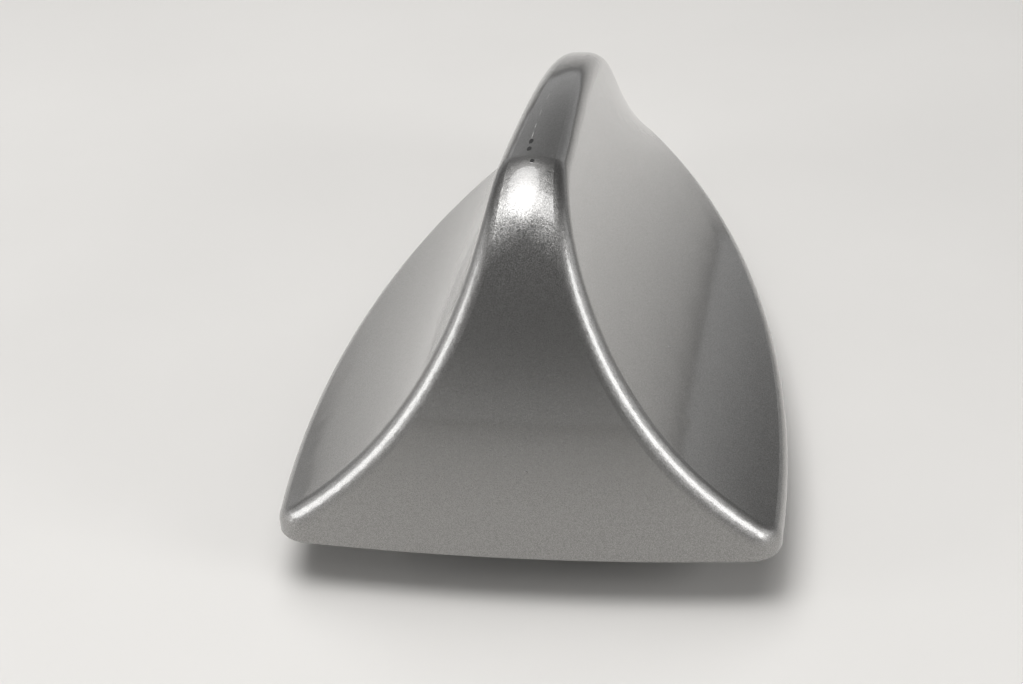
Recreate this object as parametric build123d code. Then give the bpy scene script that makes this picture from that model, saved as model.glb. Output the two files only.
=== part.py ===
from build123d import *
import math
import os

# Frame: +Y is the direction of travel, +X is to the right and +Z is up. The origin is
# where the fixing axis meets the roof skin. All sizes are in millimetres.

# Cover, outside. Runs are along Y, heights are above the lower edge of the rim.
LENGTH = 135.0              # lower rear corners to nose
REAR_REACH = 58.0           # lower rear corners behind the fixing axis
REAR_BULGE = 2.0            # middle of the rear face behind its corners
REAR_PLAN_RADIUS = 340.0    # rear face seen from above
REAR_SIDE_RADIUS = 86.0     # rear face seen from the side
REAR_LEAN = 2.4             # degrees that the rear face leans at its foot
KNEE_RADIUS = 14.0          # turn from the rear face into the crest
CREST_REAR = 55.7           # crest line carried back to the flank sheets' rear end
CREST_PULL = 46.6           # height of the crest curve's rear handle
CREST_RUN = 45.6            # reach of that handle from the rear corners
NOSE_PULL = 47.3            # height of the crest curve's nose handle
NOSE_RUN = 20.8             # reach of that handle back from the nose
CROWN_RADIUS = 11.0         # round of the crest from side to side, at the middle
CROWN_SPREAD = 12.0         # half width over which the crown falls away
RIDGE = 24.0                # width of the ridge that carries the knee
RIM_HEIGHT = 3.0            # upright band around the foot of the cover
RIM_CLEARANCE = 0.8         # rim above the roof skin

# Flank sheets: four stations from rear to nose, each a rib that starts at the foot
# line, hollows inward and ends upright on the head line beside the crest.
REAR_OVERRUN = 6.0          # sheets run on behind the rear face
NOSE_OVERRUN = 3.0          # and ahead of the nose
WAIST_RUN = 46.0            # second station, from the rear corners
BOW_RUN = 31.0              # third station, back from the nose
FOOT_REAR = 36.1            # half widths of the foot line's handles
FOOT_WAIST = 42.4
FOOT_BOW = 28.7
FOOT_NOSE = 6.0
HEAD_REAR = 4.7             # half widths of the head line's handles
HEAD_MIDDLE = 3.9
HEAD_NOSE = 3.35
HEAD_OVER_REAR = 10.5       # head line above the crest curve's handles
HEAD_OVER_WAIST = 14.1
HEAD_OVER_BOW = -7.5
HEAD_OVER_NOSE = 12.3
HOLLOW = 0.356              # height of a rib's middle handle, as a part of its rise
FLANK_RUNOUT = 0.12         # sheets run on past the foot line, as a part of a rib
EDGE_RADIUS = 3.0           # bead along the rear face, the crest and the rim
CORNER_RADIUS = 5.0         # upright corners of the rim
LIP_RADIUS = 0.4            # lower edge of the rim
PLAN_POINTS = 12            # points that carry the foot line inward

# Cover, inside
WALL = 2.2                  # skin of the fin
RIM_WALL = 2.4              # rim around the base plate
LEDGE = 4.0                 # seat for the base plate's edge
BOSS_RADIUS = 3.3
SCREW_BITE = 8.0            # cover screw in its boss
HOLE_RUNOUT = 1.0           # blind holes beyond the screw tip

# Base plate, gasket and seal
GASKET_HEIGHT = 1.8
GASKET_WIDTH = 6.0
GASKET_GAP = 0.6            # gasket inside the rim wall
GASKET_GROOVE = 2.0
GASKET_GROOVE_DEPTH = 0.6
PLATE_HEIGHT = 2.4
PLATE_FIT = 0.2             # plate inside the rim wall
PLATE_CORNER = 3.0
SEAL_EDGE = 1.0             # seal groove inside the plate's edge
SEAL_WIDTH = 1.4
SEAL_HEIGHT = 1.2
SEAL_FIT = 0.1
FOOT_DEPTH = 7.2            # foot below the roof skin
FOOT_LENGTH = 30.0
FOOT_WALL = 2.8
FOOT_CORNER = 4.0
SOCKET_SPACING = 25.0
VENT_RADIUS = 1.5
VENT_DISC_RADIUS = 4.5
VENT_DISC_HEIGHT = 0.3
VENT_GAP = 5.0              # vent disc behind the earth frame

# Fixing insert, earth frame and snap clips
THREAD_RADIUS = 2.5         # core of the fixing thread
INSERT_RADIUS = 4.5
INSERT_LENGTH = 10.0
INSERT_BLIND = 1.2          # closed end of the insert
INSERT_CHAMFER = 0.5
EARTH_FIT = 0.3
EARTH_BAND = 2.6
EARTH_GAP = 0.2             # earth frame clear of the gasket
EARTH_SHEET = 0.4
TOOTH_WIDTH = 2.0
TOOTH_DROP = 1.1
CLIP_WIDTH = 10.0
CLIP_SHEET = 0.6
CLIP_TAB = 1.8
CLIP_REACH = 3.2
CLIP_RISE = 4.2             # from the tab to the widest point
CLIP_FIT = 0.05
CLIP_FLOOR = 0.8            # tab above the underside of the foot

# Circuit board and its posts
BOARD_LIFT = 4.0            # board above the base plate
BOARD_SHEET = 1.6
BOARD_GAP = 1.0             # board clear of the cover
POST_RADIUS = 3.0
POST_EDGE = 1.0             # post inside the board's edge
BOARD_SCREW_RADIUS = 1.2
BOARD_SCREW_HEAD = 2.3
BOARD_SCREW_HEAD_HEIGHT = 1.5
BOARD_SCREW_BITE = 3.6
BOARD_HOLE_FIT = 0.2

# Cover screws
SCREW_RADIUS = 1.3
SCREW_HEAD = 2.8
SCREW_HEAD_HEIGHT = 1.6
SCREW_DRIVE = 1.3
SCREW_DRIVE_DEPTH = 0.9
SCREW_HOLE_FIT = 0.4
THREAD_FIT = 0.04           # screw cores clear of their holes
SCREW_GAP = 1.6             # screw heads clear of the gasket and the earth frame
REAR_SCREW_INSET = 14.0     # from the rear corners
NOSE_SCREW_INSET = 17.0     # from the nose

# Coaxial sockets
HOUSING = 9.0
HOUSING_FIT = 0.2
HOUSING_CORNER = 0.8
HOUSING_WALL = 0.8
HOUSING_RECESS = 0.2        # mouth above the underside of the foot
HOUSING_MOUTH_DEPTH = 8.0
FLANGE_OVER = 1.2
FLANGE_HEIGHT = 1.2
CODE_RIB = 0.9
CODE_RIB_DEPTH = 0.5
SHELL_RADIUS = 2.2
SHELL_WALL = 0.5
SHELL_INSET = 1.2           # shell behind the mouth
CORE_INSET = 6.0            # insulator behind the mouth
PIN_RADIUS = 0.45
PIN_INSET = 2.0             # pin tip behind the mouth
PIN_TAIL = 0.8              # pins above the board
PIN_FIT = 0.1

# Patch aerial, shield can, phone blade and its holder
PATCH = 13.0
PATCH_HEIGHT = 4.0
PATCH_GAP = 2.0             # patch ahead of the board's step
ELECTRODE = 10.8
ELECTRODE_SHEET = 0.1
FEED_RADIUS = 0.5
FEED_HEAD_RADIUS = 1.0
FEED_HEAD_HEIGHT = 0.3
CAN_WIDTH = 13.0
CAN_LENGTH = 12.0
CAN_SHEET = 0.3
CAN_GAP = 0.5               # can above the base plate
HOLDER_FOOT_WIDTH = 9.0
HOLDER_FOOT_HEIGHT = 2.0
HOLDER_SHEET = 2.6
HOLDER_EDGE = 3.0           # holder inside the board's ends
HOLDER_TOP_GAP = 2.2        # holder below the inside of the crest
BLADE_SHEET = 0.5
BLADE_BORDER = 2.5          # holder around the blade
BLADE_TAIL = 3.0
BLADE_SLOT = 3.0            # slot that tunes the blade
BLADE_FIT = 0.05
PAD_HEIGHT = 1.6
PAD_MARGIN = 4.0

# Derived places
REAR_Y = -REAR_REACH
NOSE_Y = REAR_Y + LENGTH
REAR_MIDDLE_Y = REAR_Y - REAR_BULGE
RIM_Z = RIM_CLEARANCE
RIM_TOP = RIM_Z + RIM_HEIGHT
PLATE_Z = GASKET_HEIGHT
PLATE_TOP = PLATE_Z + PLATE_HEIGHT
BOARD_Z = PLATE_TOP + BOARD_LIFT
BOARD_TOP = BOARD_Z + BOARD_SHEET
FOOT_Z = -FOOT_DEPTH
POCKET = HOUSING + 2 * HOUSING_FIT
FOOT_WIDTH = SOCKET_SPACING + POCKET + 2 * FOOT_WALL
MOUTH_Z = FOOT_Z + HOUSING_RECESS
STATIONS = [REAR_Y - REAR_OVERRUN, REAR_Y + WAIST_RUN, NOSE_Y - BOW_RUN, NOSE_Y + NOSE_OVERRUN]
FOOTS = [FOOT_REAR, FOOT_WAIST, FOOT_BOW, FOOT_NOSE]
HEADS = [HEAD_REAR, HEAD_MIDDLE, HEAD_MIDDLE, HEAD_NOSE]
CREST_YS = [REAR_Y - REAR_OVERRUN, REAR_Y + CREST_RUN, NOSE_Y - NOSE_RUN, NOSE_Y]
CREST_ZS = [CREST_REAR, CREST_PULL, NOSE_PULL, 0.0]
HEAD_OVERS = [HEAD_OVER_REAR, HEAD_OVER_WAIST, HEAD_OVER_BOW, HEAD_OVER_NOSE]
HEAD_ZS = [RIM_Z + crest + over for crest, over in zip(CREST_ZS, HEAD_OVERS)]


def bezier_at(handles, t):
    """Value of a Bezier curve with four handles."""
    a, b, c, d = handles
    s = 1 - t
    return a * s ** 3 + 3 * b * s ** 2 * t + 3 * c * s * t ** 2 + d * t ** 3


def bezier_slope(handles, t):
    """Rate of change of that value."""
    a, b, c, d = handles
    s = 1 - t
    return 3 * (b - a) * s ** 2 + 6 * (c - b) * s * t + 3 * (d - c) * t ** 2


def bezier_t(handles, value):
    """Place along a rising Bezier curve where it reaches a value."""
    low, high = 0.0, 1.0
    for _ in range(50):
        middle = (low + high) / 2
        if bezier_at(handles, middle) < value:
            low = middle
        else:
            high = middle
    return (low + high) / 2


def crest_under(y):
    """Height of the inside of the crest."""
    t = bezier_t([y_c - WALL * i / 3 for i, y_c in enumerate(CREST_YS)], y)
    return RIM_Z + bezier_at(CREST_ZS, t) - WALL


def room(y, z):
    """Half width inside the flanks."""
    t = bezier_t(STATIONS, y)
    foot = bezier_at(FOOTS, t) - WALL
    head = bezier_at(HEADS, t) - WALL
    foot_z = RIM_TOP - WALL / 2
    rise = (z - foot_z) / (bezier_at(HEAD_ZS, t) - WALL / 2 - foot_z)
    bend = 1 - 2 * HOLLOW
    u = (math.sqrt(HOLLOW ** 2 + bend * rise) - HOLLOW) / bend
    return head + (foot - head) * (1 - u) ** 2


def screw_x(y, toward):
    """Place of a pair of cover screws, clear of the gasket below and the flanks above."""
    foot = bezier_at(FOOTS, bezier_t(STATIONS, y + toward * SCREW_HEAD))
    beside_gasket = foot - gasket_inner - SCREW_GAP - SCREW_HEAD
    under_flank = room(y + toward * SCREW_RADIUS, screw_hole_top) - SCREW_RADIUS - THREAD_FIT
    return min(beside_gasket, under_flank)


def mirrored(points):
    return [(-x, y, z) for x, y, z in points]


def curve(points):
    return Edge.make_bezier(*[Vector(*p) for p in points])


def between(points, others):
    return Face.make_surface_from_curves(curve(points), curve(others))


def prism(sketch, low, high):
    return extrude(Pos(0, 0, low) * sketch, amount=high - low)


def rod(x, y, low, high, radius):
    return prism(Pos(x, y) * Circle(radius), low, high)


def block(x, y, width, length, low, high):
    return prism(Pos(x, y) * Rectangle(width, length), low, high)


def flank_body(inset):
    """Solid between the two flank sheets, which run on outward past the rim."""
    rows = []
    for y, foot, head, head_z in zip(STATIONS, FOOTS, HEADS, HEAD_ZS):
        bend_z = RIM_TOP + HOLLOW * (head_z - RIM_TOP)
        foot_end = Vector(foot - inset, y, RIM_TOP - inset / 2)
        bend = Vector(head - inset, y, bend_z - inset / 2)
        head_end = Vector(head - inset, y, head_z - inset / 2)
        out_bend = bend * (1 + FLANK_RUNOUT) - head_end * FLANK_RUNOUT
        out_foot = (foot_end * (1 + FLANK_RUNOUT) - bend * FLANK_RUNOUT) * (1 + FLANK_RUNOUT)
        out_foot = out_foot - out_bend * FLANK_RUNOUT
        rows.append([tuple(out_foot), tuple(out_bend), tuple(head_end)])
    foot_line = [row[0] for row in rows]
    head_line = [row[2] for row in rows]
    floor_line = [(x, y, -FOOT_DEPTH) for x, y, z in foot_line]
    faces = [
        Face.make_bezier_surface([[Vector(*p) for p in row] for row in rows]),
        Face.make_bezier_surface([[Vector(*p) for p in mirrored(row)] for row in rows]),
        between(head_line, mirrored(head_line)),
        between(floor_line, mirrored(floor_line)),
        between(foot_line, floor_line),
        between(mirrored(foot_line), mirrored(floor_line)),
    ]
    for row in (rows[0], rows[-1]):
        foot, bend, head = row
        floor = (foot[0], foot[1], -FOOT_DEPTH)
        foot_left, head_left, floor_left = mirrored([foot, head, floor])
        faces.append(Face(Wire([
            curve(row),
            Edge.make_line(head, head_left),
            curve(mirrored(row)),
            Edge.make_line(foot_left, floor_left),
            Edge.make_line(floor_left, floor),
            Edge.make_line(floor, foot),
        ])))
    return Solid(Shell(faces))


def rear_circle(inset):
    """Side view of the rear face, as part of a circle."""
    lean = math.radians(REAR_LEAN)
    centre_y = REAR_MIDDLE_Y + REAR_SIDE_RADIUS * math.cos(lean)
    centre_z = RIM_Z - REAR_SIDE_RADIUS * math.sin(lean)
    return Pos(centre_y, centre_z) * Circle(REAR_SIDE_RADIUS - inset)


def swung(side):
    """Solid of a side view that is swung about the upright axis of the rear face."""
    axis = Axis((0, REAR_MIDDLE_Y + REAR_PLAN_RADIUS, 0), (0, 0, 1))
    half_turn = math.degrees(2 * FOOT_WAIST / REAR_PLAN_RADIUS)
    face = (Plane.YZ * side).faces()[0].rotate(axis, -half_turn)
    return revolve(face, axis=axis, revolution_arc=2 * half_turn)


def crest_body():
    """Solid below the crest, whose sheet is crowned from side to side."""
    reach = FOOT_WAIST + NOSE_OVERRUN
    fall = math.hypot(1, reach / CROWN_SPREAD)
    crown = CROWN_SPREAD ** 2 / CROWN_RADIUS
    rows = []
    for y, z in zip(CREST_YS, CREST_ZS):
        edge_z = RIM_Z + z - crown * (fall - 1)
        middle_z = RIM_Z + z + crown * (1 - 1 / fall)
        rows.append([Vector(-reach, y, edge_z), Vector(0, y, middle_z), Vector(reach, y, edge_z)])
    sheet = Face.make_bezier_surface(rows, weights=[[1, fall, 1]] * len(rows))
    return extrude(sheet, amount=2 * LENGTH, dir=(0, 0, -1))


def outer_form():
    """Outside of the cover before its edges are rounded: a ridge block that carries the
    knee and upright walls with round rear corners, both cut by the flank sheets."""
    top = RIM_Z + CREST_REAR
    rear = swung(rear_circle(0) & Pos(0, RIM_Z + CREST_REAR / 2) * Rectangle(3 * LENGTH, CREST_REAR))
    crest = crest_body()
    flanks = flank_body(0)
    slab = prism(Pos(0, NOSE_Y - BOW_RUN - LENGTH) * Rectangle(RIDGE, 2 * LENGTH), RIM_Z, top)
    ridge = rear & crest & slab
    ridge = fillet(ridge.edges().sort_by(Axis.Z)[-1], KNEE_RADIUS)
    walls = prism(sides(0, NOSE_Y + NOSE_OVERRUN), RIM_Z, top) & rear
    corners = []
    for edge in walls.edges():
        if edge.bounding_box().size.Z > RIM_HEIGHT and edge.center().Y < 0:
            corners.append(edge)
    walls = fillet(corners, CORNER_RADIUS)
    form = (ridge & flanks) + ((walls & flanks & crest) - slab)
    return form.solids()[0]


def inner_profile():
    """Side view of the hollow, one wall inside the outer form, swung the same way."""
    crest = [(y, RIM_Z + z - WALL) for y, z in zip(CREST_YS, CREST_ZS)]
    crest[-1] = (NOSE_Y - WALL, RIM_Z)
    behind = REAR_MIDDLE_Y - 2 * REAR_OVERRUN
    rest = Polyline(crest[-1], (behind, RIM_Z), (behind, crest[0][1]), crest[0])
    side = rear_circle(WALL) & make_face(Curve() + [Bezier(*crest), rest])
    side = fillet(side.vertices().sort_by(Axis.Y)[-1], KNEE_RADIUS - WALL)
    return swung(side)


def sides(inset, end_y):
    """Plan of the upright side walls, moved inward."""
    right = []
    last = bezier_t(STATIONS, end_y)
    for i in range(PLAN_POINTS + 1):
        t = last * i / PLAN_POINTS
        along = Vector(bezier_slope(FOOTS, t), bezier_slope(STATIONS, t)).normalized()
        right.append((bezier_at(FOOTS, t) - inset * along.Y, bezier_at(STATIONS, t) + inset * along.X))
    left = [(-x, y) for x, y in right]
    ends = [Line(right[-1], left[-1]), Line(left[0], right[0])]
    return make_face(Curve() + [Spline(*right), Spline(*left)] + ends)


def plan(inset, corner):
    """Outline of the rim seen from above, moved inward, with rounded corners."""
    rear = Pos(0, REAR_MIDDLE_Y + REAR_PLAN_RADIUS) * Circle(REAR_PLAN_RADIUS - inset)
    front = Pos(0, NOSE_Y - inset - LENGTH) * Rectangle(4 * FOOT_WAIST, 2 * LENGTH)
    outline = sides(inset, NOSE_Y) & rear & front
    return fillet(outline.vertices(), corner)


def ring(outer, inner, low, high):
    return prism(plan(outer, PLATE_CORNER), low, high) - prism(plan(inner, PLATE_CORNER), low, high)


# Layout: screws clear the gasket and the earth frame, the board clears the bosses.
gasket_outer = RIM_WALL + GASKET_GAP
gasket_inner = gasket_outer + GASKET_WIDTH
earth_half_length = FOOT_LENGTH / 2 + EARTH_FIT + EARTH_BAND
earth_half_width = FOOT_WIDTH / 2 + EARTH_FIT + EARTH_BAND
earth_corner = FOOT_CORNER + EARTH_FIT + EARTH_BAND
screw_hole_top = PLATE_TOP + SCREW_BITE + HOLE_RUNOUT
rear_screw_y = REAR_Y + REAR_SCREW_INSET
middle_screw_y = earth_half_length + SCREW_HEAD + SCREW_GAP
nose_screw_y = NOSE_Y - NOSE_SCREW_INSET
rear_screw_x = screw_x(rear_screw_y, -1)
middle_screw_x = screw_x(middle_screw_y, 1)
cover_screws = [
    (-rear_screw_x, rear_screw_y),
    (rear_screw_x, rear_screw_y),
    (-middle_screw_x, middle_screw_y),
    (middle_screw_x, middle_screw_y),
    (0.0, nose_screw_y),
]
board_rear = rear_screw_y + BOSS_RADIUS + BOARD_GAP
board_step = middle_screw_y - BOSS_RADIUS - BOARD_GAP
board_front = nose_screw_y - BOSS_RADIUS - BOARD_GAP
head_top = BOARD_TOP + BOARD_SCREW_HEAD_HEIGHT
board_half = min(room(board_step, head_top), room(board_rear, head_top)) - BOARD_GAP
tongue_half = min(middle_screw_x - BOSS_RADIUS, room(board_front, BOARD_TOP)) - BOARD_GAP
post_x = board_half - POST_RADIUS - POST_EDGE
board_screws = [
    (-post_x, board_rear + POST_RADIUS + POST_EDGE),
    (post_x, board_rear + POST_RADIUS + POST_EDGE),
    (-post_x, board_step - POST_RADIUS - POST_EDGE),
    (post_x, board_step - POST_RADIUS - POST_EDGE),
    (0.0, board_front - POST_RADIUS - POST_EDGE),
]
sockets = {"gps": -SOCKET_SPACING / 2, "phone": SOCKET_SPACING / 2}
patch_y = board_step + PATCH_GAP + PATCH / 2
vent_y = -earth_half_length - VENT_GAP - VENT_DISC_RADIUS
parts = {}

# Cover: one moulding. The fin is hollowed by a smaller fin, the rim takes the base
# plate against a ledge, and bosses for the cover screws run up into the skin.
outside = outer_form()
beads = []
for edge in outside.edges():
    on_floor = edge.bounding_box().min.Z < RIM_Z + RIM_HEIGHT / 4
    across = abs(edge.center().X) < EDGE_RADIUS / 2
    if not on_floor and not across:
        beads.append(edge)
outside = fillet(beads, EDGE_RADIUS)
lip = [edge for edge in outside.edges() if edge.bounding_box().max.Z < RIM_Z + RIM_HEIGHT / 4]
outside = fillet(lip, LIP_RADIUS)
ledge_edge = prism(plan(RIM_WALL + LEDGE, PLATE_CORNER), RIM_Z, RIM_Z + CREST_REAR)
hollow = flank_body(WALL) & inner_profile() & ledge_edge
seat = prism(plan(RIM_WALL, PLATE_CORNER), 0, PLATE_TOP)
cover = outside - hollow
for x, y in cover_screws:
    cover += rod(x, y, PLATE_TOP, RIM_Z + CREST_REAR, BOSS_RADIUS) & outside
cover -= seat
for x, y in cover_screws:
    cover -= rod(x, y, RIM_Z, screw_hole_top, SCREW_RADIUS + THREAD_FIT)
parts["outer_cover"] = cover

# Base plate: a casting with the roof foot below and the board posts above.
plate_inset = RIM_WALL + PLATE_FIT
plate = prism(plan(plate_inset, PLATE_CORNER), PLATE_Z, PLATE_TOP)
foot_outline = RectangleRounded(FOOT_WIDTH, FOOT_LENGTH, FOOT_CORNER)
plate += prism(foot_outline, FOOT_Z, PLATE_Z)
for x, y in board_screws:
    plate += rod(x, y, PLATE_TOP, BOARD_Z, POST_RADIUS)
seal_inset = plate_inset + SEAL_EDGE
groove_out = seal_inset - SEAL_FIT
groove_in = seal_inset + SEAL_WIDTH + SEAL_FIT
plate -= ring(groove_out, groove_in, PLATE_TOP - SEAL_HEIGHT, PLATE_TOP)
for x, y in cover_screws:
    plate -= rod(x, y, PLATE_Z, PLATE_TOP, SCREW_RADIUS + SCREW_HOLE_FIT)
for x, y in board_screws:
    plate -= rod(x, y, BOARD_Z - BOARD_SCREW_BITE - HOLE_RUNOUT, BOARD_Z, BOARD_SCREW_RADIUS + THREAD_FIT)
for x in sockets.values():
    plate -= block(x, 0, POCKET, POCKET, FOOT_Z, PLATE_TOP)
plate -= rod(0, 0, FOOT_Z, FOOT_Z + INSERT_LENGTH, INSERT_RADIUS)
plate -= rod(0, vent_y, PLATE_Z, PLATE_TOP, VENT_RADIUS)
slot_low = FOOT_Z + CLIP_FLOOR - CLIP_FIT
slot_high = slot_low + CLIP_SHEET + 2 * CLIP_FIT
slot_deep = CLIP_TAB + CLIP_FIT
for end in (-1, 1):
    slot_y = end * (FOOT_LENGTH - slot_deep) / 2
    plate -= block(0, slot_y, CLIP_WIDTH + 2 * CLIP_FIT, slot_deep, slot_low, slot_high)
parts["base_plate"] = plate

# Seal between cover and plate, and the gasket that lies on the roof.
parts["cover_seal"] = ring(seal_inset, seal_inset + SEAL_WIDTH, PLATE_TOP - SEAL_HEIGHT, PLATE_TOP)
groove_edge = gasket_outer + (GASKET_WIDTH - GASKET_GROOVE) / 2
gasket = ring(gasket_outer, gasket_inner, 0, GASKET_HEIGHT)
gasket -= ring(groove_edge, groove_edge + GASKET_GROOVE, 0, GASKET_GROOVE_DEPTH)
earth_width = 2 * (earth_half_width + EARTH_GAP)
earth_length = 2 * (earth_half_length + EARTH_GAP)
gasket -= prism(RectangleRounded(earth_width, earth_length, earth_corner + EARTH_GAP), 0, GASKET_HEIGHT)
parts["roof_gasket"] = gasket

# Fixing insert: a closed threaded bush, pressed into the foot from below.
insert = rod(0, 0, FOOT_Z, FOOT_Z + INSERT_LENGTH, INSERT_RADIUS)
insert -= rod(0, 0, FOOT_Z, FOOT_Z + INSERT_LENGTH - INSERT_BLIND, THREAD_RADIUS)
mouth = insert.edges().filter_by(GeomType.CIRCLE).group_by(Axis.Z)[0].sort_by(SortBy.RADIUS)[0]
parts["fixing_insert"] = chamfer(mouth, INSERT_CHAMFER)

# Earth frame: sheet around the foot with teeth that bite the roof skin.
earth_low = PLATE_Z - EARTH_SHEET
earth_outline = RectangleRounded(2 * earth_half_width, 2 * earth_half_length, earth_corner)
foot_room = RectangleRounded(FOOT_WIDTH + 2 * EARTH_FIT, FOOT_LENGTH + 2 * EARTH_FIT, FOOT_CORNER + EARTH_FIT)
earth_outline -= foot_room
earth = prism(earth_outline, earth_low, PLATE_Z)
tooth_points = [(-TOOTH_WIDTH / 2, 0), (TOOTH_WIDTH / 2, 0), (0, -TOOTH_DROP)]
tooth = extrude(Plane.XZ * Polygon(*tooth_points, align=None), amount=EARTH_SHEET / 2, both=True)
tooth_y = earth_half_length - EARTH_SHEET / 2
tooth_x = earth_half_width - EARTH_SHEET / 2
for side in (-1, 1):
    for place in (-1, 0, 1):
        earth += Pos(place * FOOT_WIDTH / 3, side * tooth_y, earth_low) * tooth
        earth += Pos(side * tooth_x, place * FOOT_LENGTH / 4, earth_low) * Rot(0, 0, 90) * tooth
parts["earth_frame"] = earth

# Snap clips: bent spring strips in the front and rear of the foot.
tab_z = FOOT_Z + CLIP_FLOOR
peak_z = tab_z + CLIP_RISE
clip_points = [
    (-CLIP_TAB, tab_z),
    (CLIP_SHEET, tab_z),
    (CLIP_REACH, peak_z),
    (CLIP_REACH - 2 * CLIP_SHEET, peak_z + 2 * CLIP_SHEET),
    (CLIP_REACH - 3 * CLIP_SHEET, peak_z + CLIP_SHEET),
    (CLIP_REACH - 1.4 * CLIP_SHEET, peak_z - 0.4 * CLIP_SHEET),
    (CLIP_FIT, tab_z + CLIP_SHEET),
    (-CLIP_TAB, tab_z + CLIP_SHEET),
]
clip_face = Plane.YZ * Polygon(*clip_points, align=None)
clip = Pos(0, FOOT_LENGTH / 2, 0) * extrude(clip_face, amount=CLIP_WIDTH / 2, both=True)
parts["snap_clip_front"] = clip
parts["snap_clip_rear"] = Rot(0, 0, 180) * clip

# Vent disc under the base plate.
parts["vent_membrane"] = rod(0, vent_y, PLATE_Z - VENT_DISC_HEIGHT, PLATE_Z, VENT_DISC_RADIUS)

# Circuit board: broad over the sockets, a narrow tongue between the middle bosses.
board = block(0, (board_rear + board_step) / 2, 2 * board_half, board_step - board_rear, BOARD_Z, BOARD_TOP)
tongue_rear = board_step - BOARD_GAP
tongue_y = (tongue_rear + board_front) / 2
board += block(0, tongue_y, 2 * tongue_half, board_front - tongue_rear, BOARD_Z, BOARD_TOP)
for x, y in board_screws:
    board -= rod(x, y, BOARD_Z, BOARD_TOP, BOARD_SCREW_RADIUS + BOARD_HOLE_FIT)
for x in sockets.values():
    board -= rod(x, 0, BOARD_Z, BOARD_TOP, PIN_RADIUS + PIN_FIT)
board -= rod(0, patch_y, BOARD_Z, BOARD_TOP, FEED_RADIUS + PIN_FIT)
blade_rear = board_rear + HOLDER_EDGE + BLADE_BORDER
blade_front = board_step - HOLDER_EDGE - BLADE_BORDER
tail_y = blade_front - BLADE_TAIL / 2
blade_x = HOLDER_SHEET / 2 - BLADE_SHEET / 2
tail_room = BLADE_SHEET + 2 * BLADE_FIT
board -= block(blade_x, tail_y, tail_room, BLADE_TAIL + 2 * BLADE_FIT, BOARD_Z, BOARD_TOP)
parts["main_board"] = board

# Coaxial sockets: coded housing, outer shell, insulator and centre pin.
for name, x in sockets.items():
    key = 1 if name == "gps" else -1
    body = RectangleRounded(HOUSING, HOUSING, HOUSING_CORNER)
    over = HOUSING + 2 * FLANGE_OVER
    mouth_width = HOUSING - 2 * HOUSING_WALL
    mouth_top = MOUTH_Z + HOUSING_MOUTH_DEPTH
    housing = prism(body, MOUTH_Z, BOARD_Z)
    housing += prism(RectangleRounded(over, over, HOUSING_CORNER), PLATE_TOP, PLATE_TOP + FLANGE_HEIGHT)
    housing -= block(0, 0, mouth_width, mouth_width, MOUTH_Z, mouth_top)
    rib_y = key * (mouth_width - CODE_RIB_DEPTH) / 2
    housing += block(0, rib_y, CODE_RIB, CODE_RIB_DEPTH, MOUTH_Z + SHELL_INSET, mouth_top)
    housing -= rod(0, 0, mouth_top, BOARD_Z, SHELL_RADIUS)
    core_radius = SHELL_RADIUS - SHELL_WALL
    shell_low = MOUTH_Z + SHELL_INSET
    core_low = MOUTH_Z + CORE_INSET
    pin_low = MOUTH_Z + PIN_INSET
    shell = rod(x, 0, shell_low, BOARD_Z, SHELL_RADIUS) - rod(x, 0, shell_low, BOARD_Z, core_radius)
    core = rod(x, 0, core_low, BOARD_Z, core_radius) - rod(x, 0, core_low, BOARD_Z, PIN_RADIUS)
    parts[name + "_socket_housing"] = Pos(x, 0, 0) * housing
    parts[name + "_socket_shell"] = shell
    parts[name + "_socket_insulator"] = core
    parts[name + "_socket_pin"] = rod(x, 0, pin_low, BOARD_TOP + PIN_TAIL, PIN_RADIUS)

# Patch aerial: ceramic block, metal face and feed pin.
patch_top = BOARD_TOP + PATCH_HEIGHT
electrode_top = patch_top + ELECTRODE_SHEET
feed_bore = rod(0, patch_y, BOARD_TOP, electrode_top, FEED_RADIUS)
parts["gps_patch"] = block(0, patch_y, PATCH, PATCH, BOARD_TOP, patch_top) - feed_bore
parts["gps_electrode"] = block(0, patch_y, ELECTRODE, ELECTRODE, patch_top, electrode_top) - feed_bore
feed = rod(0, patch_y, BOARD_Z - PIN_TAIL, electrode_top, FEED_RADIUS)
feed += rod(0, patch_y, electrode_top, electrode_top + FEED_HEAD_HEIGHT, FEED_HEAD_RADIUS)
parts["gps_feed_pin"] = feed

# Shield can on the underside of the board, below the patch.
can_low = PLATE_TOP + CAN_GAP
can = block(0, patch_y, CAN_WIDTH, CAN_LENGTH, can_low, BOARD_Z)
can -= block(0, patch_y, CAN_WIDTH - 2 * CAN_SHEET, CAN_LENGTH - 2 * CAN_SHEET, can_low + CAN_SHEET, BOARD_Z)
parts["shield_can"] = can

# Phone blade: a slotted sheet let into the side of an upright plastic holder whose
# top follows the crest, with a strip of foam on top.
holder_rear = board_rear + HOLDER_EDGE
holder_front = board_step - HOLDER_EDGE
holder_rear_z = crest_under(holder_rear) - HOLDER_TOP_GAP
holder_front_z = crest_under(holder_front) - HOLDER_TOP_GAP
holder_points = [
    (holder_rear, BOARD_TOP),
    (holder_front, BOARD_TOP),
    (holder_front, holder_front_z),
    (holder_rear, holder_rear_z),
]
holder = extrude(Plane.YZ * Polygon(*holder_points, align=None), amount=HOLDER_SHEET / 2, both=True)
holder_y = (holder_rear + holder_front) / 2
holder_top = BOARD_TOP + HOLDER_FOOT_HEIGHT
holder += block(0, holder_y, HOLDER_FOOT_WIDTH, holder_front - holder_rear, BOARD_TOP, holder_top)
blade_low = holder_top + BLADE_BORDER
blade_rear_z = crest_under(blade_rear) - HOLDER_TOP_GAP - 2 * BLADE_BORDER
blade_front_z = crest_under(blade_front) - HOLDER_TOP_GAP - 2 * BLADE_BORDER
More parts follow.
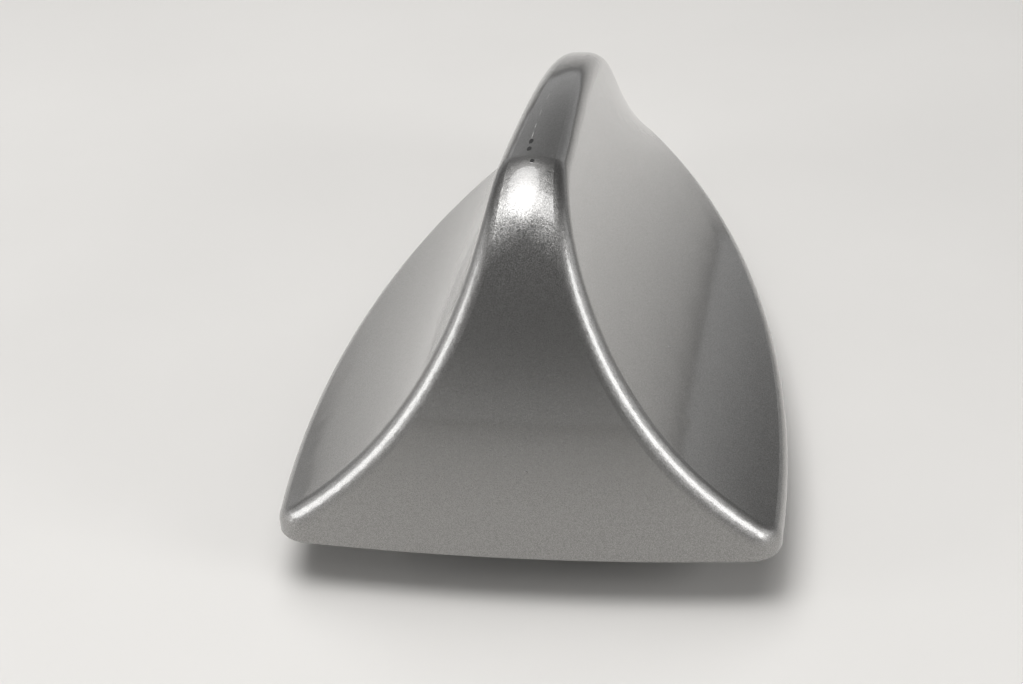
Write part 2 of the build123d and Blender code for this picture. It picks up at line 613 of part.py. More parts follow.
slot_y = (blade_rear + blade_front) / 2
slot_top = blade_front_z - 2 * BLADE_BORDER
blade_points = [
    (blade_rear, blade_low),
    (slot_y - BLADE_SLOT / 2, blade_low),
    (slot_y - BLADE_SLOT / 2, slot_top),
    (slot_y + BLADE_SLOT / 2, slot_top),
    (slot_y + BLADE_SLOT / 2, blade_low),
    (tail_y - BLADE_TAIL / 2, blade_low),
    (tail_y - BLADE_TAIL / 2, BOARD_Z - PIN_TAIL),
    (tail_y + BLADE_TAIL / 2, BOARD_Z - PIN_TAIL),
    (blade_front, blade_front_z),
    (blade_rear, blade_rear_z),
]
blade_face = Plane.YZ * Polygon(*blade_points, align=None)
blade = Pos(blade_x, 0, 0) * extrude(blade_face, amount=BLADE_SHEET / 2, both=True)
tail_low = BOARD_TOP
holder -= block(blade_x, tail_y, tail_room, BLADE_TAIL + 2 * BLADE_FIT, tail_low, blade_low)
parts["blade_holder"] = holder - blade
parts["phone_blade"] = blade
pad_rear = holder_rear + PAD_MARGIN
pad_front = holder_front - PAD_MARGIN
slope = (holder_front_z - holder_rear_z) / (holder_front - holder_rear)
pad_rear_z = holder_rear_z + slope * PAD_MARGIN
pad_front_z = holder_front_z - slope * PAD_MARGIN
pad_points = [
    (pad_rear, pad_rear_z),
    (pad_front, pad_front_z),
    (pad_front, pad_front_z + PAD_HEIGHT),
    (pad_rear, pad_rear_z + PAD_HEIGHT),
]
pad_face = Plane.YZ * Polygon(*pad_points, align=None)
parts["anti_rattle_pad"] = extrude(pad_face, amount=HOLDER_SHEET / 2, both=True)

# Screws: cover screws from below, board screws from above.
for number, (x, y) in enumerate(cover_screws, 1):
    screw = rod(x, y, PLATE_Z - SCREW_HEAD_HEIGHT, PLATE_Z, SCREW_HEAD)
    screw += rod(x, y, PLATE_Z, PLATE_TOP + SCREW_BITE, SCREW_RADIUS)
    drive = Pos(x, y) * RegularPolygon(SCREW_DRIVE, 6)
    screw -= prism(drive, PLATE_Z - SCREW_HEAD_HEIGHT, PLATE_Z - SCREW_HEAD_HEIGHT + SCREW_DRIVE_DEPTH)
    parts["cover_screw_" + str(number)] = screw
for number, (x, y) in enumerate(board_screws, 1):
    screw = rod(x, y, BOARD_Z - BOARD_SCREW_BITE, BOARD_TOP, BOARD_SCREW_RADIUS)
    screw += rod(x, y, BOARD_TOP, head_top, BOARD_SCREW_HEAD)
    parts["board_screw_" + str(number)] = screw

os.makedirs("parts", exist_ok=True)
for node, shape in parts.items():
    solid, = shape.solids()
    export_step(solid, "parts/" + node + ".step")
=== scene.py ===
"""Shark fin roof aerial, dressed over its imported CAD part."""

import math

import bmesh
import bpy
from mathutils import Matrix, Vector
from mathutils.bvhtree import BVHTree


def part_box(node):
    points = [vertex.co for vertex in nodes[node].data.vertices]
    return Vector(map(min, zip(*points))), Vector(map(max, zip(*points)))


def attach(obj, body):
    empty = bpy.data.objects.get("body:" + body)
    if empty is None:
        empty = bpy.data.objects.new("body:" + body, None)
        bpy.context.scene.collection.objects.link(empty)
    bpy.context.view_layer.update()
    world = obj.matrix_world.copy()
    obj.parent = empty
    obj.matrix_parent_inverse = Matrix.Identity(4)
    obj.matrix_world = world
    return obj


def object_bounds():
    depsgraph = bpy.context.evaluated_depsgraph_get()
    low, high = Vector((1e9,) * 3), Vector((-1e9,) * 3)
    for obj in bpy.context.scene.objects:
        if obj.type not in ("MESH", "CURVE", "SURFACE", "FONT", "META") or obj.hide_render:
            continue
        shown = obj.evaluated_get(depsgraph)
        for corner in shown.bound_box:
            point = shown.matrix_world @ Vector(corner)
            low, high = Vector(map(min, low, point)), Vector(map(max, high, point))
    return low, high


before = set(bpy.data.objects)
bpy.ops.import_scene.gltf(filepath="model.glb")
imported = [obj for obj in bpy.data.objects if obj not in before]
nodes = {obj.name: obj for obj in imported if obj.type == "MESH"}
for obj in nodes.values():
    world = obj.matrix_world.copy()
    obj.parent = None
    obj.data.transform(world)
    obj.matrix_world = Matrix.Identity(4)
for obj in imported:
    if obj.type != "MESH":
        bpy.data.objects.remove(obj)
cad_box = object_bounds()


# Base plate. A die casting with the deep foot that passes through the roof, left as
# cast and tumbled, and the part that everything else is screwed or pressed to.
mm = 0.001


def linear(code):
    """Linear colour of an sRGB hex value."""
    parts = [int(code[i:i + 2], 16) / 255 for i in (1, 3, 5)]
    return [v / 12.92 if v <= 0.04045 else ((v + 0.055) / 1.055) ** 2.4 for v in parts] + [1.0]


def add(tree, kind, inputs=None, **settings):
    """One shader node, with its settings and with values or links on its inputs."""
    node = tree.nodes.new("ShaderNode" + kind)
    for name, value in settings.items():
        setattr(node, name, value)
    for name, value in (inputs or {}).items():
        if isinstance(value, bpy.types.NodeSocket):
            tree.links.new(value, node.inputs[name])
        else:
            node.inputs[name].default_value = value
    return node


def new_finish(name):
    """An empty material, its tree, and the place of a point on the part in metres."""
    finish = bpy.data.materials.new(name)
    finish.use_nodes = True
    finish.node_tree.nodes.clear()
    place = add(finish.node_tree, "TexCoord").outputs["Object"]
    return finish, finish.node_tree, place


def dress(finish, *names):
    """Puts a finish on CAD nodes."""
    for name in names:
        nodes[name].data.materials.clear()
        nodes[name].data.materials.append(finish)


# Aluminium die casting, tumbled: a satin grey with a fine shot grain of about 0.4 mm
# and cloudy flow marks some 9 mm across from the filling of the die.
die_cast, tree, place = new_finish("aluminium_die_casting")
grain = add(tree, "TexNoise", {"Vector": place, "Scale": 1 / (0.4 * mm), "Detail": 4.0})
flow = add(tree, "TexNoise", {"Vector": place, "Scale": 1 / (9 * mm), "Detail": 3.0, "Distortion": 0.6})
cloud = add(tree, "MapRange", {"Value": flow.outputs["Fac"], "From Min": 0.35, "From Max": 0.65})
tone = add(tree, "Mix", {
    0: cloud.outputs[0],
    6: linear("#999b9c"),
    7: linear("#a9aaaa"),
}, data_type="RGBA")
rough = add(tree, "MapRange", {"Value": grain.outputs["Fac"], "To Min": 0.38, "To Max": 0.62})
shot = add(tree, "Bump", {"Height": grain.outputs["Fac"], "Strength": 0.35, "Distance": 0.05 * mm})
shader = add(tree, "BsdfPrincipled", {
    "Base Color": tone.outputs[2],
    "Metallic": 1.0,
    "Roughness": rough.outputs[0],
    "Normal": shot.outputs[0],
})
add(tree, "OutputMaterial", {"Surface": shader.outputs["BSDF"]})
dress(die_cast, "base_plate")


# Fixing insert. A turned brass bush with a blind thread, pressed into the foot from
# below; the fixing bolt comes up through the roof into it.
insert_low, insert_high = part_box("fixing_insert")
insert_x = (insert_low.x + insert_high.x) / 2
insert_y = (insert_low.y + insert_high.y) / 2
core_radius = 2.5 * mm
pitch = 1.0 * mm
thread_depth = 0.42 * mm
mouth = 0.9 * mm
turns = 7
turn_steps = 48
root_half = 0.42 * pitch
crest_half = 0.08 * pitch
root_sink = 0.06 * mm

# Machined brass: a warm yellow metal with turning rings of about 0.15 mm, drawn at
# 0.3 mm so that they show, and a thin brown tarnish in clouds of a few millimetres.
brass, tree, place = new_finish("machined_brass")
tarnish = add(tree, "TexNoise", {"Vector": place, "Scale": 1 / (3 * mm), "Detail": 4.0})
tone = add(tree, "Mix", {
    0: tarnish.outputs["Fac"],
    6: linear("#d2b064"),
    7: linear("#9c7a3c"),
}, data_type="RGBA")
turning = add(tree, "TexWave", {"Vector": place, "Scale": 1 / (0.3 * mm) / 20, "Distortion": 0.4},
              wave_type="RINGS", rings_direction="Z")
lines = add(tree, "Bump", {"Height": turning.outputs["Fac"], "Strength": 0.15, "Distance": 0.02 * mm})
shader = add(tree, "BsdfPrincipled", {
    "Base Color": tone.outputs[2],
    "Metallic": 1.0,
    "Roughness": 0.28,
    "Normal": lines.outputs[0],
})
add(tree, "OutputMaterial", {"Surface": shader.outputs["BSDF"]})
dress(brass, "fixing_insert")

thread = bmesh.new()
thread_rows = []
for step in range(turn_steps * turns + 1):
    angle = 2 * math.pi * step / turn_steps
    height = insert_low.z + mouth + pitch * step / turn_steps
    fade = min(1.0, step / turn_steps, (turn_steps * turns - step) / turn_steps)
    root = core_radius + root_sink
    crest = core_radius - thread_depth * fade
    row = []
    for lift, radius in ((-root_half, root), (-crest_half, crest), (crest_half, crest), (root_half, root)):
        across = insert_x + radius * math.cos(angle)
        ahead = insert_y + radius * math.sin(angle)
        row.append(thread.verts.new((across, ahead, height + lift)))
    thread_rows.append(row)
for row, after in zip(thread_rows, thread_rows[1:]):
    for i in range(4):
        j = (i + 1) % 4
        thread.faces.new((row[i], row[j], after[j], after[i]))
thread.faces.new(thread_rows[0][::-1])
thread.faces.new(thread_rows[-1])
bmesh.ops.recalc_face_normals(thread, faces=thread.faces)


def piece(name, form, finish):
    """A mesh piece that rides on the part, with the finish it is given."""
    mesh = bpy.data.meshes.new(name)
    form.to_mesh(mesh)
    form.free()
    mesh.materials.append(finish)
    mesh.shade_smooth()
    body = bpy.data.objects.new(name, mesh)
    bpy.context.scene.collection.objects.link(body)
    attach(body, "root")
    return body


piece("insert_thread", thread, brass)


# Earth frame and snap clips. Stamped from spring strip: the frame's teeth bite through
# the roof paint, and the clips hold the aerial in the roof hole before it is bolted.
# Stainless spring strip: cold rolled, so fine scratches run along the strip. They are
# some hundredths of a millimetre apart and are drawn about 0.25 mm apart.
spring, tree, place = new_finish("stainless_spring_strip")
along = add(tree, "Mapping", {"Vector": place, "Scale": (1 / (0.25 * mm), 1 / (6 * mm), 1 / (0.25 * mm))})
rolled = add(tree, "TexNoise", {"Vector": along.outputs[0], "Scale": 1.0, "Detail": 3.0})
rough = add(tree, "MapRange", {"Value": rolled.outputs["Fac"], "To Min": 0.2, "To Max": 0.42})
lines = add(tree, "Bump", {"Height": rolled.outputs["Fac"], "Strength": 0.2, "Distance": 0.01 * mm})
tone = add(tree, "Mix", {
    0: rolled.outputs["Fac"],
    6: linear("#a9a7a2"),
    7: linear("#cbc9c4"),
}, data_type="RGBA")
shader = add(tree, "BsdfPrincipled", {
    "Base Color": tone.outputs[2],
    "Metallic": 1.0,
    "Roughness": rough.outputs[0],
    "Normal": lines.outputs[0],
})
add(tree, "OutputMaterial", {"Surface": shader.outputs["BSDF"]})
dress(spring, "earth_frame", "snap_clip_front", "snap_clip_rear")


# Vent membrane. A disc of stretched film, welded under the plate over the vent hole:
# it lets the cover breathe and keeps water out.
# Expanded fluoropolymer film: chalk white and matt, with a web of fine fibres. They are
# far too fine to see and are drawn as a soft net of 0.35 mm.
film, tree, place = new_finish("expanded_film")
web = add(tree, "TexVoronoi", {"Vector": place, "Scale": 1 / (0.35 * mm)}, feature="DISTANCE_TO_EDGE")
net = add(tree, "MapRange", {"Value": web.outputs["Distance"], "From Max": 0.25})
tone = add(tree, "Mix", {
    0: net.outputs[0],
    6: linear("#e9e8e3"),
    7: linear("#d5d4ce"),
}, data_type="RGBA")
weave = add(tree, "Bump", {"Height": net.outputs[0], "Strength": 0.3, "Distance": 0.03 * mm}, invert=True)
shader = add(tree, "BsdfPrincipled", {
    "Base Color": tone.outputs[2],
    "Roughness": 0.78,
    "IOR": 1.35,
    "Normal": weave.outputs[0],
})
add(tree, "OutputMaterial", {"Surface": shader.outputs["BSDF"]})
dress(film, "vent_membrane")


# Roof gasket and cover seal. Moulded rubber rings: the gasket is pressed flat between
# plate and roof, the seal lies in the plate's groove under the cover's ledge.
# EPDM rubber: near black and matt, with the fine spark grain of the mould, about
# 0.2 mm, and a faint grey bloom in patches of some 12 mm.
rubber, tree, place = new_finish("epdm_rubber")
grain = add(tree, "TexNoise", {"Vector": place, "Scale": 1 / (0.2 * mm), "Detail": 2.0})
bloom = add(tree, "TexNoise", {"Vector": place, "Scale": 1 / (12 * mm), "Detail": 5.0, "Roughness": 0.65})
patch = add(tree, "MapRange", {"Value": bloom.outputs["Fac"], "From Min": 0.45, "From Max": 0.75})
tone = add(tree, "Mix", {
    0: patch.outputs[0],
    6: linear("#191919"),
    7: linear("#343332"),
}, data_type="RGBA")
rough = add(tree, "MapRange", {"Value": patch.outputs[0], "To Min": 0.58, "To Max": 0.74})
spark = add(tree, "Bump", {"Height": grain.outputs["Fac"], "Strength": 0.3, "Distance": 0.04 * mm})
shader = add(tree, "BsdfPrincipled", {
    "Base Color": tone.outputs[2],
    "Roughness": rough.outputs[0],
    "IOR": 1.52,
    "Normal": spark.outputs[0],
})
add(tree, "OutputMaterial", {"Surface": shader.outputs["BSDF"]})
dress(rubber, "roof_gasket", "cover_seal")


# Main board. Glass cloth laminate under a green solder mask, screwed to the posts of
# the plate, with both aerials on top and the sockets below.
# Solder mask over laminate: a glossy deep green in which the cloth of 0.5 mm threads
# shows as a faint check.
laminate, tree, place = new_finish("masked_laminate")
cloth = add(tree, "TexChecker", {
    "Vector": place,
    "Scale": 1 / (0.5 * mm),
    "Color1": linear("#1d5134"),
    "Color2": linear("#215a3a"),
})
flow = add(tree, "TexNoise", {"Vector": place, "Scale": 1 / (4 * mm), "Detail": 2.0})
level = add(tree, "Bump", {"Height": flow.outputs["Fac"], "Strength": 0.1, "Distance": 0.05 * mm})
shader = add(tree, "BsdfPrincipled", {
    "Base Color": cloth.outputs["Color"],
    "Roughness": 0.26,
    "IOR": 1.53,
    "Normal": level.outputs[0],
})
add(tree, "OutputMaterial", {"Surface": shader.outputs["BSDF"]})
dress(laminate, "main_board")


# Coaxial sockets. Two housings of dyed plastic with a code rib each, blue for position
# and plum for the phone, around a gold-flashed shell, a white insulator and a pin.
# Moulded polyester: a satin dyed plastic with a fine eroded mould grain of 0.15 mm,
# and a slightly paler skin where it flowed.
housings = {"gps_socket_housing": ("#27519a", "#3160ad"), "phone_socket_housing": ("#6b2846", "#7c3354")}
for name, (deep, pale) in housings.items():
    dyed, tree, place = new_finish("moulded_polyester_" + name.split("_")[0])
    grain = add(tree, "TexNoise", {"Vector": place, "Scale": 1 / (0.15 * mm), "Detail": 2.0})
    flow = add(tree, "TexNoise", {"Vector": place, "Scale": 1 / (5 * mm), "Detail": 2.0})
    tone = add(tree, "Mix", {0: flow.outputs["Fac"], 6: linear(deep), 7: linear(pale)}, data_type="RGBA")
    eroded = add(tree, "Bump", {"Height": grain.outputs["Fac"], "Strength": 0.2, "Distance": 0.02 * mm})
    shader = add(tree, "BsdfPrincipled", {
        "Base Color": tone.outputs[2],
        "Roughness": 0.42,
        "IOR": 1.55,
        "Normal": eroded.outputs[0],
    })
    add(tree, "OutputMaterial", {"Surface": shader.outputs["BSDF"]})
    dress(dyed, name)

# Fluoropolymer insulator: waxy white, slightly see-through in its thin edges, with
# shallow turning marks of 0.2 mm.
wax, tree, place = new_finish("turned_fluoropolymer")
marks = add(tree, "TexNoise", {"Vector": place, "Scale": 1 / (0.2 * mm), "Detail": 1.0})
cut = add(tree, "Bump", {"Height": marks.outputs["Fac"], "Strength": 0.1, "Distance": 0.02 * mm})
tone = add(tree, "Mix", {
    0: marks.outputs["Fac"],
    6: linear("#e4e3df"),
    7: linear("#f0efec"),
}, data_type="RGBA")
shader = add(tree, "BsdfPrincipled", {
    "Base Color": tone.outputs[2],
    "Roughness": 0.5,
    "IOR": 1.35,
    "Normal": cut.outputs[0],
})
add(tree, "OutputMaterial", {"Surface": shader.outputs["BSDF"]})
dress(wax, "gps_socket_insulator", "phone_socket_insulator")

# Gold flash over brass: a smooth rich yellow, a little paler where the flash is thin,
# in patches of about 1 mm.
gold, tree, place = new_finish("gold_flashed_brass")
thin = add(tree, "TexNoise", {"Vector": place, "Scale": 1 / (1 * mm), "Detail": 3.0})
tone = add(tree, "Mix", {
    0: thin.outputs["Fac"],
    6: linear("#d8ac4e"),
    7: linear("#e2c37a"),
}, data_type="RGBA")
rough = add(tree, "MapRange", {"Value": thin.outputs["Fac"], "To Min": 0.16, "To Max": 0.3})
shader = add(tree, "BsdfPrincipled", {
    "Base Color": tone.outputs[2],
    "Metallic": 1.0,
    "Roughness": rough.outputs[0],
})
add(tree, "OutputMaterial", {"Surface": shader.outputs["BSDF"]})
dress(gold, "gps_socket_shell", "gps_socket_pin", "phone_socket_shell", "phone_socket_pin")
dress(gold, "gps_feed_pin", "phone_blade")


# Position aerial and shield can. A sintered ceramic block with a printed silver face on
# top of the board, and a can of tinned sheet soldered below it.
# Sintered ceramic: a warm matt buff with darker grains of about 0.3 mm.
ceramic, tree, place = new_finish("sintered_ceramic")
grain = add(tree, "TexVoronoi", {"Vector": place, "Scale": 1 / (0.3 * mm)})
fine = add(tree, "TexNoise", {"Vector": place, "Scale": 1 / (0.5 * mm), "Detail": 4.0})
tone = add(tree, "Mix", {
    0: fine.outputs["Fac"],
    6: linear("#b7a684"),
    7: linear("#d3c6a8"),
}, data_type="RGBA")
pores = add(tree, "Bump", {"Height": grain.outputs["Distance"], "Strength": 0.2, "Distance": 0.03 * mm})
shader = add(tree, "BsdfPrincipled", {
    "Base Color": tone.outputs[2],
    "Roughness": 0.6,
    "IOR": 1.7,
    "Normal": pores.outputs[0],
})
add(tree, "OutputMaterial", {"Surface": shader.outputs["BSDF"]})
dress(ceramic, "gps_patch")

# Printed silver: a pale satin metal with the mark of the printing mesh, drawn at 0.3 mm
# because the real mesh of 0.08 mm would not show.
silver, tree, place = new_finish("printed_silver")
mesh_mark = add(tree, "TexChecker", {"Vector": place, "Scale": 1 / (0.3 * mm)})
marks = add(tree, "Bump", {"Height": mesh_mark.outputs["Fac"], "Strength": 0.1, "Distance": 0.01 * mm})
dull = add(tree, "TexNoise", {"Vector": place, "Scale": 1 / (2 * mm), "Detail": 3.0})
tone = add(tree, "Mix", {
    0: dull.outputs["Fac"],
    6: linear("#c3c1bb"),
    7: linear("#dddcd8"),
}, data_type="RGBA")
shader = add(tree, "BsdfPrincipled", {
    "Base Color": tone.outputs[2],
    "Metallic": 1.0,
    "Roughness": 0.45,
    "Normal": marks.outputs[0],
})
add(tree, "OutputMaterial", {"Surface": shader.outputs["BSDF"]})
dress(silver, "gps_electrode")

# Tinned sheet: a bright grey with soft spangle about 2 mm across.
tin, tree, place = new_finish("tinned_sheet")
spangle = add(tree, "TexVoronoi", {"Vector": place, "Scale": 1 / (2 * mm)})
bright = add(tree, "SeparateColor", {"Color": spangle.outputs["Color"]})
rough = add(tree, "MapRange", {"Value": bright.outputs[0], "To Min": 0.24, "To Max": 0.4})
tone = add(tree, "Mix", {
    0: bright.outputs[1],
    6: linear("#b5b8ba"),
    7: linear("#cdcfd0"),
}, data_type="RGBA")
shader = add(tree, "BsdfPrincipled", {
    "Base Color": tone.outputs[2],
    "Metallic": 1.0,
    "Roughness": rough.outputs[0],
})
add(tree, "OutputMaterial", {"Surface": shader.outputs["BSDF"]})
dress(tin, "shield_can")


# Phone aerial. A slotted sheet let into an upright plastic holder on the board, with a
# strip of foam on top that keeps it from rattling against the cover.
# Moulded ABS: charcoal and satin, with a fine grain of 0.2 mm.
plastic, tree, place = new_finish("moulded_abs")
grain = add(tree, "TexNoise", {"Vector": place, "Scale": 1 / (0.2 * mm), "Detail": 3.0})
tone = add(tree, "Mix", {
    0: grain.outputs["Fac"],
    6: linear("#262628"),
    7: linear("#303033"),
}, data_type="RGBA")
eroded = add(tree, "Bump", {"Height": grain.outputs["Fac"], "Strength": 0.2, "Distance": 0.03 * mm})
shader = add(tree, "BsdfPrincipled", {
    "Base Color": tone.outputs[2],
    "Roughness": 0.5,
    "IOR": 1.54,
    "Normal": eroded.outputs[0],
})
add(tree, "OutputMaterial", {"Surface": shader.outputs["BSDF"]})
dress(plastic, "blade_holder")

# Polyurethane foam: dark grey and dull, with open cells of about 0.6 mm. The hollows of the cells are
# painted darker than their walls, as painted shade.
foam, tree, place = new_finish("polyurethane_foam")
cells = add(tree, "TexVoronoi", {"Vector": place, "Scale": 1 / (0.6 * mm)}, feature="DISTANCE_TO_EDGE")
cell_depth_and_shade = add(tree, "MapRange", {"Value": cells.outputs["Distance"], "From Max": 0.3})
# Painted shade: the cell hollows get the darker grey and the cell walls the paler one.
tone = add(tree, "Mix", {
    0: cell_depth_and_shade.outputs[0],
    6: linear("#4a4a4c"),
    7: linear("#2c2c2e"),
}, data_type="RGBA")
pits = add(tree, "Bump", {"Height": cell_depth_and_shade.outputs[0], "Strength": 0.8, "Distance": 0.2 * mm}, invert=True)
shader = add(tree, "BsdfPrincipled", {
    "Base Color": tone.outputs[2],
    "Roughness": 0.92,
    "IOR": 1.45,
    "Normal": pits.outputs[0],
})
add(tree, "OutputMaterial", {"Surface": shader.outputs["BSDF"]})
dress(foam, "anti_rattle_pad")


# Screws. Five long ones with a hexagon socket go up through the plate into the bosses
# of the cover, five short ones hold the board to its posts.
# Zinc plate, clear passivated: a bright metal with a faint blue and straw cast in
# clouds of about 1.5 mm.
zinc, tree, place = new_finish("passivated_zinc")
cast = add(tree, "TexNoise", {"Vector": place, "Scale": 1 / (1.5 * mm), "Detail": 3.0})
tone = add(tree, "Mix", {
    0: cast.outputs["Fac"],
    6: linear("#b3bac2"),
    7: linear("#cfc9b6"),
}, data_type="RGBA")
rough = add(tree, "MapRange", {"Value": cast.outputs["Fac"], "To Min": 0.22, "To Max": 0.42})
shader = add(tree, "BsdfPrincipled", {
    "Base Color": tone.outputs[2],
    "Metallic": 1.0,
    "Roughness": rough.outputs[0],
})
add(tree, "OutputMaterial", {"Surface": shader.outputs["BSDF"]})
for number in range(1, 6):
    dress(zinc, "cover_screw_" + str(number), "board_screw_" + str(number))


# Cover. One moulding, sprayed body colour: a metallic base coat under clear lacquer,
# with soft beads along the rear face, the crest and the rim.
# Metallic lacquer: dark grey aluminium flakes lie nearly flat under the clear coat, so
# it is bright towards the light, dark beside it, and sparkles. Flakes of about 0.03 mm
# are drawn 0.08 mm across so that they show. The lacquer has a faint orange peel.
paint, tree, place = new_finish("metallic_lacquer")
flakes = add(tree, "TexVoronoi", {"Vector": place, "Scale": 1 / (0.08 * mm)})
tilt = add(tree, "VectorMath", {0: flakes.outputs["Color"], 1: (0.5, 0.5, 0.5)}, operation="SUBTRACT")
spread = add(tree, "VectorMath", {0: tilt.outputs[0], "Scale": 0.20}, operation="SCALE")
flat = add(tree, "NewGeometry")
turned = add(tree, "VectorMath", {0: flat.outputs["Normal"], 1: spread.outputs[0]}, operation="ADD")
flake = add(tree, "VectorMath", {0: turned.outputs[0]}, operation="NORMALIZE")
shade = add(tree, "SeparateColor", {"Color": flakes.outputs["Color"]})
tone = add(tree, "Mix", {
    0: shade.outputs[2],
    6: linear("#7d7c7b"),
    7: linear("#a7a6a4"),
}, data_type="RGBA")
peel = add(tree, "TexNoise", {"Vector": place, "Scale": 1 / (2.2 * mm), "Detail": 1.0})
peeled = add(tree, "Bump", {"Height": peel.outputs["Fac"], "Strength": 0.06, "Distance": 0.03 * mm})
shader = add(tree, "BsdfPrincipled", {
    "Base Color": tone.outputs[2],
    "Metallic": 1.0,
    "Roughness": 0.38,
    "Normal": flake.outputs[0],
    "Coat Weight": 1.0,
    "Coat Roughness": 0.08,
    "Coat IOR": 1.5,
    "Coat Normal": peeled.outputs[0],
})
add(tree, "OutputMaterial", {"Surface": shader.outputs["BSDF"]})
dress(paint, "outer_cover")


# Marks on the cover. Three stone chips on the crest go through the paint to the dark
# moulding, a thin scratch runs forward from them, and two dust nibs sit in the lacquer.
skin_form = bmesh.new()
skin_form.from_mesh(nodes["outer_cover"].data)
skin = BVHTree.FromBMesh(skin_form)
skin_form.free()


def on_crest(x, y, lift):
    """A point at a height above the crest."""
    spot, normal, _, _ = skin.ray_cast(Vector((x, y, 0.1)), Vector((0, 0, -1)))
    return spot + normal * lift


# Chip: a ragged pit. Its lip of lifted lacquer catches the light, its floor is the bare
# moulding, a dull charcoal with a grain of 0.1 mm.
bare, tree, place = new_finish("bare_moulding")
grain = add(tree, "TexNoise", {"Vector": place, "Scale": 1 / (0.1 * mm), "Detail": 2.0})
tone = add(tree, "Mix", {
    0: grain.outputs["Fac"],
    6: linear("#141414"),
    7: linear("#292828"),
}, data_type="RGBA")
pits = add(tree, "Bump", {"Height": grain.outputs["Fac"], "Strength": 0.5, "Distance": 0.03 * mm})
shader = add(tree, "BsdfPrincipled", {
    "Base Color": tone.outputs[2],
    "Roughness": 0.75,
    "IOR": 1.5,
    "Normal": pits.outputs[0],
})
add(tree, "OutputMaterial", {"Surface": shader.outputs["BSDF"]})
chips = [(-0.95, -25.7, 0.28, 0.95), (-0.85, -29.0, 0.29, 0.85), (0.10, -33.7, 0.26, 0.48)]
lips = [(1.35, 0.002 * mm), (1.15, 0.030 * mm), (0.95, 0.012 * mm), (0.45, 0.006 * mm)]
points = 20
for number, (x, y, half_width, half_length) in enumerate(chips, 1):
    pit = bmesh.new()
    pit_rows = []
    for reach, lift in lips:
        row = []
        for i in range(points):
            angle = 2 * math.pi * i / points
            uneven = 0.05 * math.sin(3 * angle + number) + 0.06 * math.sin(7 * angle + 2 * number)
            ragged = reach * (1 + uneven)
            side = x + half_width * ragged * math.cos(angle)
            ahead = y + half_length * ragged * math.sin(angle)
            row.append(pit.verts.new(on_crest(side * mm, ahead * mm, lift)))
        pit_rows.append(row)
    for ring, (row, inner) in enumerate(zip(pit_rows, pit_rows[1:])):
        for i in range(points):
            j = (i + 1) % points
            face = pit.faces.new((row[i], row[j], inner[j], inner[i]))
            face.material_index = 0 if ring < 1 else 1
    pit.faces.new(pit_rows[-1]).material_index = 1
    chip = piece("paint_chip_" + str(number), pit, paint)
    chip.data.materials.append(bare)

# Scratch: lacquer scored white, a dull pale line that breaks up as it runs out.
scored, tree, place = new_finish("scored_lacquer")
crumbs = add(tree, "TexNoise", {"Vector": place, "Scale": 1 / (0.3 * mm), "Detail": 3.0})
tone = add(tree, "Mix", {
    0: crumbs.outputs["Fac"],
    6: linear("#6b6a69"),
    7: linear("#b2b1af"),
}, data_type="RGBA")
shader = add(tree, "BsdfPrincipled", {"Base Color": tone.outputs[2], "Roughness": 0.55, "IOR": 1.5})
add(tree, "OutputMaterial", {"Surface": shader.outputs["BSDF"]})
strokes = [
    ((-1.08, -24.6), (-1.09, -21.4), 0.075),
    ((-1.11, -19.6), (-1.13, -17.4), 0.070),
    ((-1.15, -13.6), (-1.15, -10.4), 0.065),
    ((-1.00, -5.4), (-0.88, -1.6), 0.060),
]
score = bmesh.new()
stroke_steps = 16
score_lift = 0.008 * mm
for (x, y), (end_x, end_y), half_width in strokes:
    stroke_rows = []
    for step in range(stroke_steps + 1):
        share = step / stroke_steps
        side = x + (end_x - x) * share
        ahead = y + (end_y - y) * share
        half = half_width * (0.25 + 0.75 * math.sin(math.pi * share))
        edges = [on_crest((side + half * k) * mm, ahead * mm, score_lift) for k in (-1, 1)]
        stroke_rows.append([score.verts.new(edge) for edge in edges])
    for (left, right), (next_left, next_right) in zip(stroke_rows, stroke_rows[1:]):
        score.faces.new((left, right, next_right, next_left))
piece("crest_scratch", score, scored)

# Dust nib: a speck under the lacquer, seen as a small round bump in the same paint.
nibs = {
    "rear": (Vector((0.74, -80, 15.13)) * mm, Vector((0, 1, 0)), 0.22 * mm),
    "flank": (Vector((60, -29.82, 18.91)) * mm, Vector((-1, 0, 0)), 0.28 * mm),
}
for name, (start, toward, radius) in nibs.items():
    spot, normal, _, _ = skin.ray_cast(start, toward)
    turn = normal.to_track_quat("Z", "Y").to_matrix().to_4x4()
    nib = bmesh.new()
    bmesh.ops.create_uvsphere(nib, u_segments=20, v_segments=12, radius=radius)
    bmesh.ops.scale(nib, vec=(1, 1, 0.35), verts=nib.verts)
    bmesh.ops.transform(nib, matrix=Matrix.Translation(spot) @ turn, verts=nib.verts)
    piece("dust_nib_" + name, nib, paint)


# Floor, light and camera. A pale matt table, a long softbox and a broad one over the fin,
# a bright and a dim one low on each side, and a wall all round that greys above.
floor_z = cad_box[0][2]
floor_form = bmesh.new()
bmesh.ops.create_circle(floor_form, cap_ends=True, segments=128, radius=3.0)
floor_mesh = bpy.data.meshes.new("floor")
floor_form.to_mesh(floor_mesh)
floor_form.free()
floor = bpy.data.objects.new("floor", floor_mesh)
floor.location = (0, 0, floor_z)
bpy.context.scene.collection.objects.link(floor)

# Matt table top: a pale warm grey with the faint cloud of a rolled coat.
table, tree, place = new_finish("matt_table_top")
cloud = add(tree, "TexNoise", {"Vector": place, "Scale": 1 / (60 * mm), "Detail": 4.0})
tone = add(tree, "Mix", {
    0: cloud.outputs["Fac"],
    6: linear("#d0cecb"),
    7: linear("#d8d6d3"),
}, data_type="RGBA")
shader = add(tree, "BsdfPrincipled", {"Base Color": tone.outputs[2], "Roughness": 0.7})
add(tree, "OutputMaterial", {"Surface": shader.outputs["BSDF"]})
floor_mesh.materials.append(table)

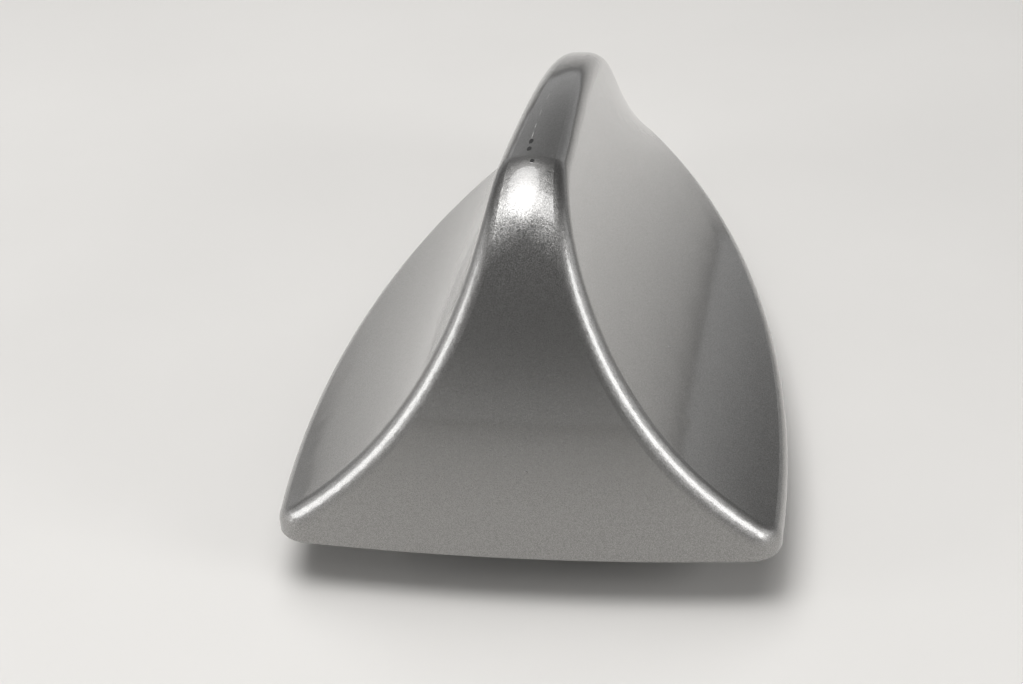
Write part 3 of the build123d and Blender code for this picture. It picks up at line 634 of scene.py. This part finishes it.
softboxes = {
    "long": ("ELLIPSE", (0.40, 1.00), 3.1, (-0.13, 0.14, 0.64), (0, 0, 0)),
    "broad": ("ELLIPSE", (0.76, 0.40), 2.2, (-0.05, -0.12, 0.65), (0, 0, 0)),
    "right": ("RECTANGLE", (0.24, 0.22), 1.0, (0.555, -0.243, 0.27), (68, 0, 69)),
    "right_strip": ("RECTANGLE", (1.30, 0.26), 1.1, (0.68, -0.25, 0.28), (70, 0, 72)),
    "left": ("RECTANGLE", (0.30, 0.18), 0.85, (-0.583, -0.242, 0.185), (76, 0, -70)),
    "left_strip": ("RECTANGLE", (1.20, 0.24), 0.8, (-0.68, -0.25, 0.24), (73.6, 0, -72)),
}
for name, (shape, size, power, stand, turn) in softboxes.items():
    light = bpy.data.lights.new("softbox_" + name, "AREA")
    light.shape = shape
    light.size, light.size_y = size
    light.energy = power
    softbox = bpy.data.objects.new("softbox_" + name, light)
    softbox.location = stand
    softbox.rotation_euler = [math.radians(angle) for angle in turn]
    bpy.context.scene.collection.objects.link(softbox)

world = bpy.data.worlds.new("room")
world.use_nodes = True
tree = world.node_tree
tree.nodes.clear()
toward = add(tree, "TexCoord").outputs["Generated"]
upward = add(tree, "SeparateXYZ", {"Vector": toward})
wall = add(tree, "MapRange", {
    "Value": upward.outputs["Z"],
    "From Min": 0.0,
    "From Max": 0.3,
    "To Min": 0.50,
    "To Max": 0.07,
}, interpolation_type="SMOOTHSTEP")
glow = add(tree, "Background", {"Color": linear("#ffffff"), "Strength": wall.outputs[0]})
add(tree, "OutputWorld", {"Surface": glow.outputs[0]})
bpy.context.scene.world = world

lens = bpy.data.cameras.new("camera")
lens.sensor_width = 36.0
lens.lens = 73.9
lens.clip_start = 0.01
camera = bpy.data.objects.new("camera", lens)
camera.location = (0.03484, -0.29776, 0.18804)
camera.rotation_euler = [math.radians(angle) for angle in (57.9887, 2.2811, 6.9527)]
bpy.context.scene.collection.objects.link(camera)
bpy.context.scene.camera = camera
bpy.context.scene.view_settings.view_transform = "Standard"
